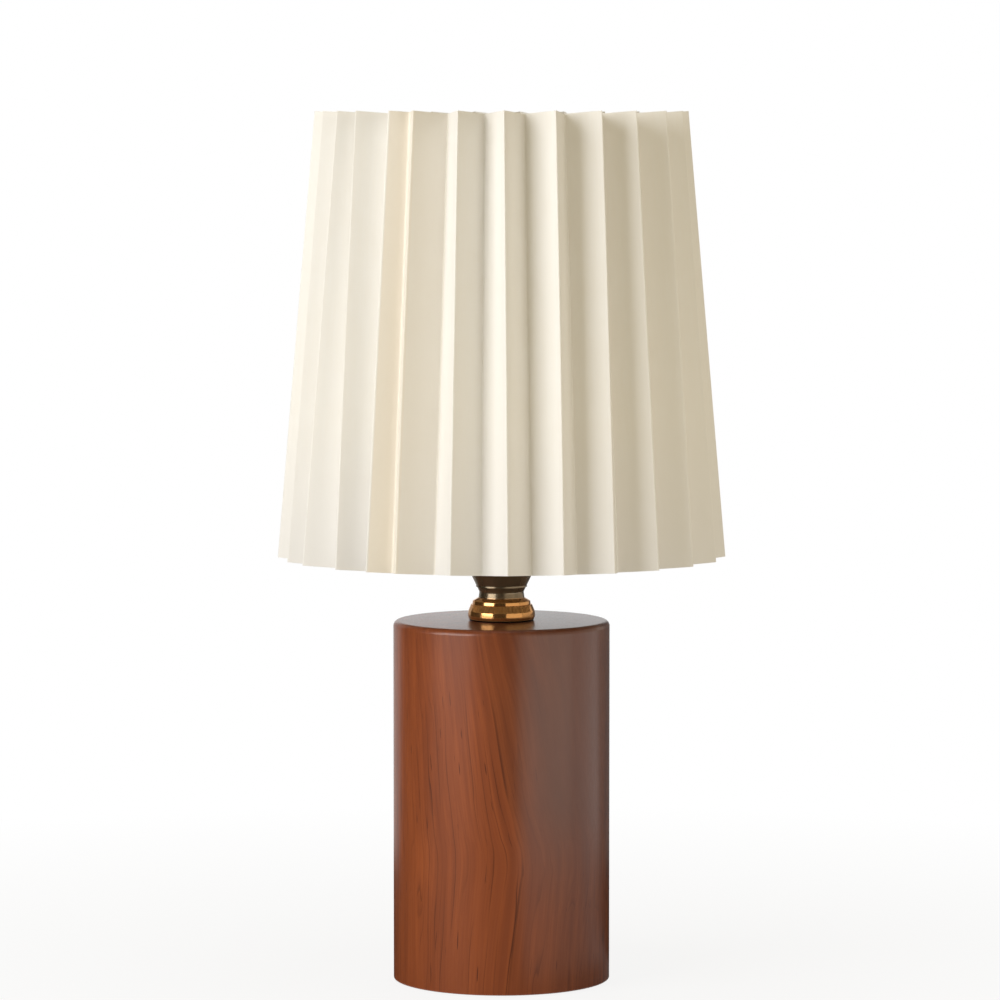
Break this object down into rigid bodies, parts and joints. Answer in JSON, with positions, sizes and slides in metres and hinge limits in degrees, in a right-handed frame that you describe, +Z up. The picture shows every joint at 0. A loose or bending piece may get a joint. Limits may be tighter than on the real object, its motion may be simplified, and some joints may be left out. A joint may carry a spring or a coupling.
{
  "type": "bedside lamp",
  "caption": "Bedside lamp with a turned wood cylinder base, a brass spool neck and a tapered pleated shade clamped on a screw lamp holder.",
  "frame": {"origin": "centre of the underside of the base pad, where the lamp stands", "axes": "+Z up along the lamp's axis; the front of the picture faces -Y and the cord outlet +Y"},
  "size_m": [0.1596, 0.1596, 0.31],
  "materials": {
    "wood": "satin varnish",
    "pad": "felt",
    "bush": "matte",
    "zinc_steel": "zinc plated",
    "aged_brass": "aged, polished",
    "holder": "moulded",
    "insert": "moulded",
    "contact_brass": "bright",
    "shade_sheet": "laminated, pleated",
    "frame_wire": "powder coat",
    "bulb_black": "glazed",
    "nickel": "rolled thread",
    "bulb_white": "moulded",
    "board": "solder mask",
    "opal": "opal"
  },
  "bodies": {
    "base": {"wood_base": "wood", "base_pad": "pad", "cord_bush": "bush", "lamp_pipe": "zinc_steel", "pipe_washer": "zinc_steel", "base_nut": "zinc_steel", "neck_foot": "aged_brass", "neck_spool": "aged_brass", "neck_nut": "zinc_steel", "holder_cap": "holder", "holder_skirt": "holder", "holder_insert": "insert", "screw_shell": "contact_brass", "centre_contact": "contact_brass", "terminal_screws": "zinc_steel", "shade_seat_ring": "holder"},
    "clamp_ring": {"shade_clamp_ring": "holder"},
    "shade": {"shade_pleats": "shade_sheet", "shade_bottom_ring": "frame_wire", "shade_top_ring": "frame_wire", "shade_ribs": "frame_wire", "fitter_ring": "frame_wire", "fitter_arms": "frame_wire"},
    "bulb": {"bulb_contact": "contact_brass", "bulb_insulator": "bulb_black", "bulb_cap": "nickel", "bulb_housing": "bulb_white", "led_board": "board", "bulb_globe": "opal"}
  },
  "joints": [
    {"name": "shade_lift", "type": "slide", "parent": "base", "child": "clamp_ring", "axis": [0, 0, 1], "range_m": [0, 0.135]},
    {"name": "shade_turn", "type": "hinge", "parent": "clamp_ring", "child": "shade", "pos_m": [0, 0, 0.18015], "axis": [0, 0, 1], "continuous": true},
    {"name": "bulb_lift", "type": "slide", "parent": "base", "child": "bulb", "axis": [0, 0, 1], "range_m": [0, 0.135]}
  ]
}
